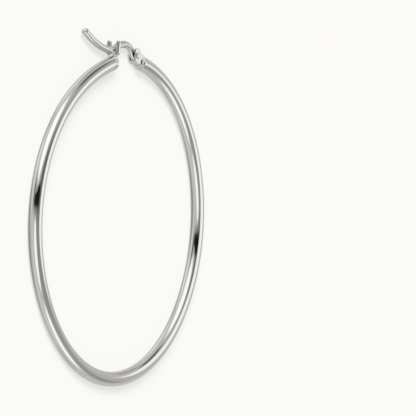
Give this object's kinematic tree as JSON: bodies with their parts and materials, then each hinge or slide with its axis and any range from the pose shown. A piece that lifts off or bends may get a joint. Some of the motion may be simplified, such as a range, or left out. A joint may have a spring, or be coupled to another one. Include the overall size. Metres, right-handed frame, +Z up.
{
  "type": "hoop earring",
  "caption": "Plain polished tube hoop earring with a hinged ear wire that snaps into a forked catch.",
  "frame": {"origin": "on the surface that the hoop lies on, under the middle of the whole earring's box", "axes": "+Z up through the ring, which lies flat; +Y from the ring's centre to the clasp; +X towards the hinge"},
  "size_m": [0.05, 0.0528, 0.0021],
  "materials": {
    "polished_silver": "mirror-polished rhodium-plated sterling silver",
    "rivet_silver": "peened rhodium-plated sterling silver, a little softer than the tube"
  },
  "bodies": {
    "hoop": {"hoop": "polished_silver", "hinge_rivet": "rivet_silver"},
    "ear_wire": {"ear_wire": "polished_silver"}
  },
  "joints": [
    {"name": "ear_wire_hinge", "type": "hinge", "parent": "hoop", "child": "ear_wire", "pos_m": [0.0021, 0.02329, 0.00105], "axis": [0, 0, -1], "range_deg": [0, 90]}
  ]
}
